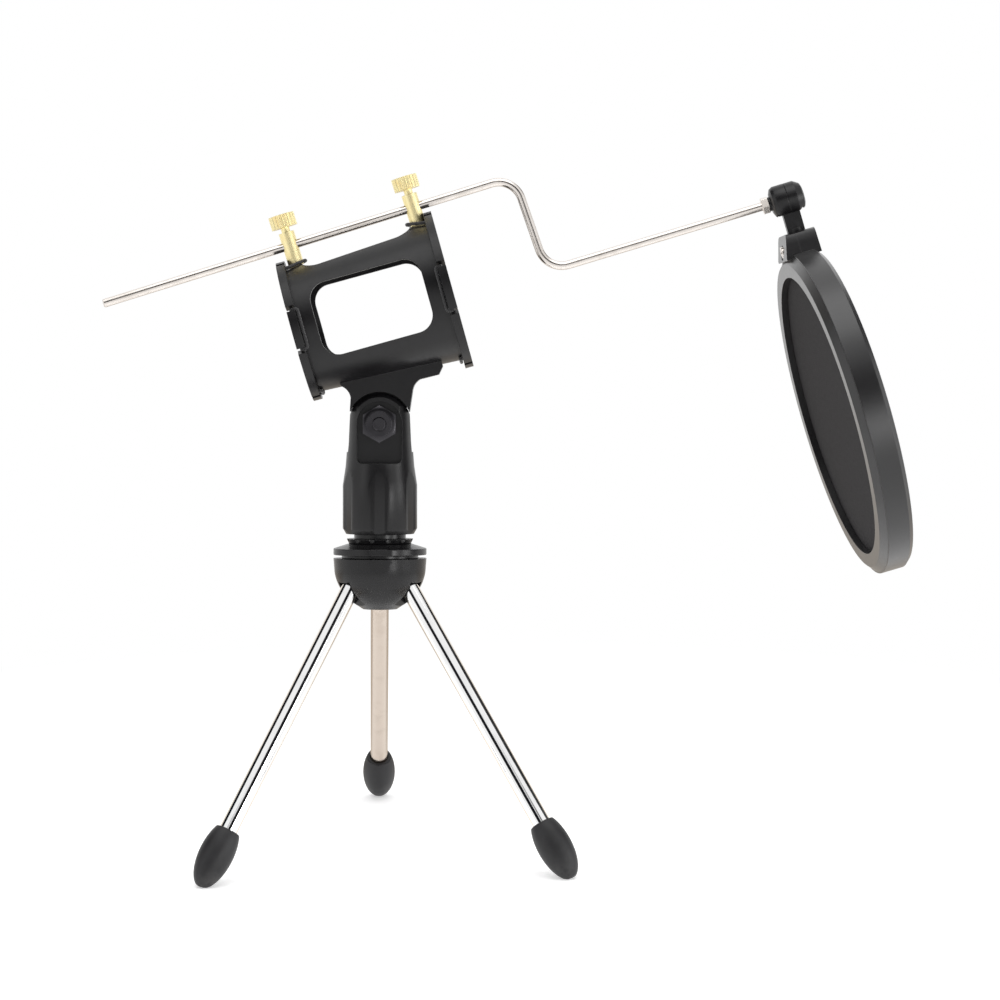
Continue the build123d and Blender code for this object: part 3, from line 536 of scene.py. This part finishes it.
# Cradle sizes that the cord follows, the same driving dimensions as the CAD's, in mm.
HALF_LENGTH = 37.5
RIM_WIDTH = 3.9
HOOK_ANGLE = 17.7
CORD_RADIUS = 0.8
WALL = 2.5
CONE_RADIUS = {"left": 29.4, "right": 32.8}
POST_PLACE = {"left": -29.0, "right": 30.1}
POST_RADIUS = 3.6

CORD_BEND = 1.4 * MM
CORD_STEP = 0.3 * MM
CORD_SIDES = 24
BRAID_PITCH = 1.5 * MM


def cord_route(side):
    """Corners of one closed cord in the cradle's frame: behind each hook and round the post."""
    direction = -1 if side == "left" else 1
    rim_inner = HALF_LENGTH - RIM_WIDTH
    rise = (CONE_RADIUS["right"] - CONE_RADIUS["left"]) / (2 * rim_inner)
    behind = direction * (rim_inner - CORD_RADIUS - 0.25)
    within = direction * (HALF_LENGTH - RIM_WIDTH / 2)
    outside = CONE_RADIUS["left"] + (behind + rim_inner) * rise + CORD_RADIUS + 0.3
    inside = CONE_RADIUS["left"] + (within + rim_inner) * rise - WALL - CORD_RADIUS - 0.5
    post_line = POST_PLACE[side] - direction * (POST_RADIUS + CORD_RADIUS + 0.5)
    points = []
    for hook in range(4):
        if hook == 0:
            middle = [(-6.3, outside + 0.2, post_line), (6.3, outside + 0.2, post_line)]
        else:
            middle = [(angle, outside, behind) for angle in (-9.0, 0.0, 9.0)]
        turns = ((outside, behind), (outside, within), (inside, within))
        ends = [(HOOK_ANGLE, radius, along) for radius, along in turns]
        starts = [(-angle, radius, along) for angle, radius, along in reversed(ends)]
        for angle, radius, along in starts + middle + ends:
            turn = math.radians(angle + 90 * hook)
            points.append(Vector((along, radius * math.sin(turn), radius * math.cos(turn))) * MM)
    return points


def build_cords():
    for side in ("left", "right"):
        corners = [cradle @ point for point in cord_route(side)]
        path = rounded_path(corners, CORD_BEND, CORD_STEP)
        node = f"elastic_cord_{side}"
        radius = CORD_RADIUS * MM
        tube(f"elastic_{side}", "cradle", "elastic", path, radius, CORD_SIDES, BRAID_PITCH, node)


# ---------------------------------------------------------------- studio
EYE_DISTANCE = 1656 * MM
EYE_RIGHT = 45 * MM
EYE_HEIGHT = 84.6 * MM
PICTURE_CENTRE = (55.2 * MM, 39.1 * MM)
PICTURE_WIDTH = 460 * MM


def place_camera():
    """A long lens held level with the column, with its picture shifted as the view is."""
    data = bpy.data.cameras.new("camera")
    camera = bpy.data.objects.new("camera", data)
    bpy.context.scene.collection.objects.link(camera)
    eye = column @ Vector((EYE_RIGHT, -EYE_DISTANCE, EYE_HEIGHT))
    facing = -column.col[1].to_3d()
    camera.matrix_world = frame_matrix(eye, column.col[0].to_3d(), facing)
    data.sensor_width = 36.0
    data.lens = data.sensor_width * EYE_DISTANCE / PICTURE_WIDTH
    data.shift_x = (PICTURE_CENTRE[0] - EYE_RIGHT) / PICTURE_WIDTH
    data.shift_y = (PICTURE_CENTRE[1] - EYE_HEIGHT) / PICTURE_WIDTH
    data.clip_start = 0.05
    data.clip_end = 50.0
    bpy.context.scene.camera = camera


FLOOR_HALF_WIDTH = 6.0
LIT_POINT = (0.06, 0.0, 0.18)

# Name, place in metres, width and height in metres, and power in watts.
SOFTBOXES = (
    ("box_right", (0.9, -1.26, 0.2), 0.4, 0.44, 3.2),
    ("box_left", (-1.35, -0.9, 0.7), 0.5, 0.8, 0.8),
    ("box_side", (1.5, -0.5, 0.36), 0.6, 0.6, 4.5),
    ("box_top", (0.1, -0.3, 1.6), 1.4, 1.0, 6.5),
)


def softbox(name, place, width, height, power):
    data = bpy.data.lights.new(name, "AREA")
    data.shape = "RECTANGLE"
    data.size = width
    data.size_y = height
    data.energy = power
    light = bpy.data.objects.new(name, data)
    bpy.context.scene.collection.objects.link(light)
    away = Vector(place) - Vector(LIT_POINT)
    light.matrix_world = frame_matrix(place, Vector((0, 0, 1)).cross(away), away)
    light.visible_camera = False


def build_studio():
    floor_mesh = bpy.data.meshes.new("floor")
    half = FLOOR_HALF_WIDTH
    corners = [(-half, -half, 0), (half, -half, 0), (half, half, 0), (-half, half, 0)]
    floor_mesh.from_pydata(corners, [], [(0, 1, 2, 3)])
    floor = bpy.data.objects.new("floor", floor_mesh)
    bpy.context.scene.collection.objects.link(floor)
    floor_mesh.materials.append(studio_floor("floor"))

    for name, place, width, height, power in SOFTBOXES:
        softbox(name, place, width, height, power)
    build_world()


# Directions from the stand, each with the angles in degrees at which its patch is full and has gone.
DARK_FLAGS = (
    ((0.265, -0.875, 0.4), 16, 19),
    ((-0.32, -0.864, 0.38), 16, 19),
    ((-0.782, 0.281, 0.557), 20, 23),
    ((0.702, 0.492, 0.515), 14, 17),
)
FLAG_BLACK = (0.01, 0.01, 0.012)

# The same kind of patch, for where the room's back half takes over from its front.
ROOM_TURN = ((0, 1, 0), 40, 110)


def build_world():
    """White for the camera, and for all else a bright room whose dark flags draw lines on the metal."""
    world = bpy.data.worlds.new("studio")
    bpy.context.scene.world = world
    world.use_nodes = True
    tree = world.node_tree
    tree.nodes.clear()
    output = tree.nodes.new("ShaderNodeOutputWorld")
    place = tree.nodes.new("ShaderNodeTexCoord").outputs["Generated"]

    def patch(direction, full, gone):
        """1 inside a cone about a direction, falling to 0."""
        dot = tree.nodes.new("ShaderNodeVectorMath")
        dot.operation = "DOT_PRODUCT"
        tree.links.new(place, dot.inputs[0])
        dot.inputs[1].default_value = Vector(direction).normalized()
        made = tree.nodes.new("ShaderNodeMapRange")
        tree.links.new(dot.outputs["Value"], made.inputs["Value"])
        made.inputs["From Min"].default_value = math.cos(math.radians(gone))
        made.inputs["From Max"].default_value = math.cos(math.radians(full))
        return made.outputs["Result"]

    def sum_of(first, second):
        made = tree.nodes.new("ShaderNodeMath")
        made.operation = "ADD"
        made.use_clamp = True
        tree.links.new(first, made.inputs[0])
        tree.links.new(second, made.inputs[1])
        return made.outputs[0]

    def blend(factor, first, second):
        """A mix of two colours, each a value or another node's output."""
        made = tree.nodes.new("ShaderNodeMix")
        made.data_type = "RGBA"
        tree.links.new(factor, made.inputs["Factor"])
        targets = [slot for slot in made.inputs if slot.type == "RGBA"]
        for source, target in zip((first, second), targets):
            if isinstance(source, tuple):
                target.default_value = (*source, 1)
            else:
                tree.links.new(source, target)
        return next(slot for slot in made.outputs if slot.type == "RGBA")

    dark = patch(*DARK_FLAGS[0])
    for flag in DARK_FLAGS[1:]:
        dark = sum_of(dark, patch(*flag))
    room = blend(patch(*ROOM_TURN), (ROOM_FRONT,) * 3, (ROOM_BACK,) * 3)
    flagged = blend(dark, room, FLAG_BLACK)
    room_light = tree.nodes.new("ShaderNodeBackground")
    tree.links.new(flagged, room_light.inputs["Color"])
    white = tree.nodes.new("ShaderNodeBackground")
    white.inputs["Color"].default_value = (1, 1, 1, 1)
    chosen = tree.nodes.new("ShaderNodeMixShader")
    seen = tree.nodes.new("ShaderNodeLightPath").outputs["Is Camera Ray"]
    tree.links.new(seen, chosen.inputs["Fac"])
    tree.links.new(room_light.outputs[0], chosen.inputs[1])
    tree.links.new(white.outputs[0], chosen.inputs[2])
    tree.links.new(chosen.outputs[0], output.inputs["Surface"])


dress_cad()
woven_sheet("woven_front", "mesh_front")
woven_sheet("woven_rear", "mesh_rear")
build_cords()
build_studio()
place_camera()
bpy.context.scene.view_settings.view_transform = "Standard"
